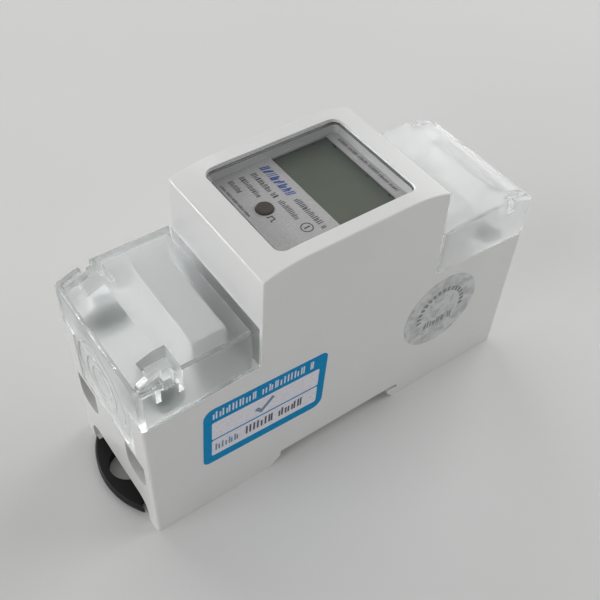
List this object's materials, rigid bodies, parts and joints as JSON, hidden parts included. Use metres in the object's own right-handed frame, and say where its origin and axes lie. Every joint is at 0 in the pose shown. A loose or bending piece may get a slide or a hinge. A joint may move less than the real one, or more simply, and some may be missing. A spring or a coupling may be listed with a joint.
{
  "type": "din rail electricity meter",
  "caption": "Slim rail-mounted electricity meter with a raised display nose, clear push-fit terminal covers, cage-clamp terminals and a sprung rail clip.",
  "frame": {"origin": "centre of the face that seats on the DIN rail", "axes": "+Z out of the nose, away from the rail; X along the case, the pull-out clip at -X; Y across the two modules, along the rail"},
  "size_m": [0.1062, 0.0351, 0.0671],
  "materials": {
    "case_white": "fine matte moulded ABS/PC",
    "clear_cover": "clear polycarbonate, frosted on the top",
    "lens_clear": "clear polished acrylic",
    "nameplate_silver": "silver-grey printed film",
    "display_glass": "grey-green reflective display glass",
    "lamp_red": "tinted epoxy",
    "clip_black": "black nylon",
    "spring_steel": "spring wire",
    "screw_steel": "zinc-plated steel",
    "cage_steel": "zinc-plated steel",
    "copper": "bare copper strip",
    "manganin": "manganin strip",
    "relay_body": "black relay case",
    "board_green": "solder-masked glass-epoxy",
    "chip_black": "moulded package",
    "film_yellow": "moulded box",
    "sleeve_black": "shrink sleeve",
    "varistor_blue": "dipped ceramic disc",
    "crystal_can": "plated can",
    "pin_brass": "tinned brass",
    "contact_rubber": "layered conductive rubber",
    "gasket_grey": "grey foam gasket",
    "wire_red": "insulated lead",
    "wire_blue": "insulated lead",
    "carrier_white": "white moulding",
    "sticker_blue": "printed label",
    "sticker_silver": "metallised label"
  },
  "bodies": {
    "case": {"main_case": "case_white", "back_plate": "case_white", "back_plate_screws": "screw_steel", "clip_spring": "spring_steel", "window_lens": "lens_clear", "window_gasket": "gasket_grey", "nameplate": "nameplate_silver", "display_glass": "display_glass", "contact_strips": "contact_rubber", "display_carrier": "carrier_white", "display_board": "board_green", "display_screws": "screw_steel", "pulse_lamp": "lamp_red", "board_link_pins": "pin_brass", "main_board": "board_green", "metering_chip": "chip_black", "controller_chip": "chip_black", "crystal": "crystal_can", "film_capacitor": "film_yellow", "electrolytic_capacitor": "sleeve_black", "varistor": "varistor_blue", "latching_relay": "relay_body", "relay_pins": "pin_brass", "sense_wires": "wire_red", "neutral_lead": "wire_blue", "live_busbar_in": "copper", "live_busbar_mid": "copper", "live_busbar_out": "copper", "neutral_busbar": "copper", "shunt": "manganin", "inspection_sticker": "sticker_blue", "seal_sticker": "sticker_silver"},
    "din_clip": {"din_clip": "clip_black"},
    "cover_left": {"terminal_cover_left": "clear_cover"},
    "cover_right": {"terminal_cover_right": "clear_cover"},
    "screw_left_near": {"terminal_screw_left_near": "screw_steel"},
    "cage_left_near": {"cage_clamp_left_near": "cage_steel"},
    "screw_left_far": {"terminal_screw_left_far": "screw_steel"},
    "cage_left_far": {"cage_clamp_left_far": "cage_steel"},
    "screw_right_near": {"terminal_screw_right_near": "screw_steel"},
    "cage_right_near": {"cage_clamp_right_near": "cage_steel"},
    "screw_right_far": {"terminal_screw_right_far": "screw_steel"},
    "cage_right_far": {"cage_clamp_right_far": "cage_steel"}
  },
  "joints": [
    {"name": "clip_slide", "type": "slide", "parent": "case", "child": "din_clip", "axis": [-1, 0, 0], "range_m": [0, 0.005], "stiffness_N_per_m": 400, "springref_m": -0.006, "deforming": ["clip_spring"]},
    {"name": "cover_left_lift", "type": "slide", "parent": "case", "child": "cover_left", "axis": [0, 0, 1], "range_m": [0, 0.018]},
    {"name": "cover_right_lift", "type": "slide", "parent": "case", "child": "cover_right", "axis": [0, 0, 1], "range_m": [0, 0.018]},
    {"name": "screw_left_near_turn", "type": "hinge", "parent": "case", "child": "screw_left_near", "pos_m": [-0.0433, -0.011, 0.034], "axis": [0, 0, -1], "range_deg": [0, 2881]},
    {"name": "cage_left_near_rise", "type": "slide", "parent": "case", "child": "cage_left_near", "axis": [0, 0, 1], "range_m": [0, 0.0064]},
    {"name": "screw_left_far_turn", "type": "hinge", "parent": "case", "child": "screw_left_far", "pos_m": [-0.0433, 0.011, 0.034], "axis": [0, 0, -1], "range_deg": [0, 2881]},
    {"name": "cage_left_far_rise", "type": "slide", "parent": "case", "child": "cage_left_far", "axis": [0, 0, 1], "range_m": [0, 0.0064]},
    {"name": "screw_right_near_turn", "type": "hinge", "parent": "case", "child": "screw_right_near", "pos_m": [0.0433, -0.011, 0.034], "axis": [0, 0, -1], "range_deg": [0, 2881]},
    {"name": "cage_right_near_rise", "type": "slide", "parent": "case", "child": "cage_right_near", "axis": [0, 0, 1], "range_m": [0, 0.0064]},
    {"name": "screw_right_far_turn", "type": "hinge", "parent": "case", "child": "screw_right_far", "pos_m": [0.0433, 0.011, 0.034], "axis": [0, 0, -1], "range_deg": [0, 2881]},
    {"name": "cage_right_far_rise", "type": "slide", "parent": "case", "child": "cage_right_far", "axis": [0, 0, 1], "range_m": [0, 0.0064]}
  ],
  "couplings": [
    {"joint": "screw_left_near_turn", "follows": "cage_left_near_rise", "rad_per_m": 7854},
    {"joint": "screw_left_far_turn", "follows": "cage_left_far_rise", "rad_per_m": 7854},
    {"joint": "screw_right_near_turn", "follows": "cage_right_near_rise", "rad_per_m": 7854},
    {"joint": "screw_right_far_turn", "follows": "cage_right_far_rise", "rad_per_m": 7854}
  ]
}
